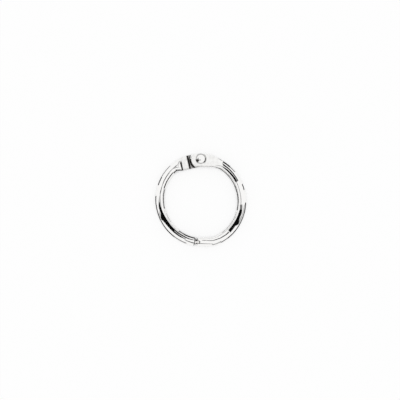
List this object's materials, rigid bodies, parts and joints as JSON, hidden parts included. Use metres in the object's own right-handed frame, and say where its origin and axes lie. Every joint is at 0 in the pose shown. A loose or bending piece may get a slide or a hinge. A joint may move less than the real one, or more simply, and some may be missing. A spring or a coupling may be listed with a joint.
{
  "type": "binder ring",
  "caption": "Round wire loose-leaf ring of two half rings, hinged on a rivet at one end and snapping shut with a tongue and slot at the other.",
  "frame": {"origin": "middle of the closed ring, halfway through the thickness of its wire, where the two hinge paddles meet", "axes": "+Z through the ring, towards the face with the rivet's domed head, which is up when the ring lies flat; +Y towards the hinge; +X towards the half whose paddle is in front"},
  "size_m": [0.0316, 0.0321, 0.0035],
  "materials": {
    "nickel_wire": "bright nickel plate",
    "nickel_rivet": "bright nickel plate"
  },
  "bodies": {
    "left_leaf": {"left_half_ring": "nickel_wire", "hinge_rivet": "nickel_rivet"},
    "right_leaf": {"right_half_ring": "nickel_wire"}
  },
  "joints": [
    {"name": "ring_hinge", "type": "hinge", "parent": "left_leaf", "child": "right_leaf", "pos_m": [0, 0.0145, 0], "axis": [0, 0, 1], "range_deg": [0, 150]}
  ]
}
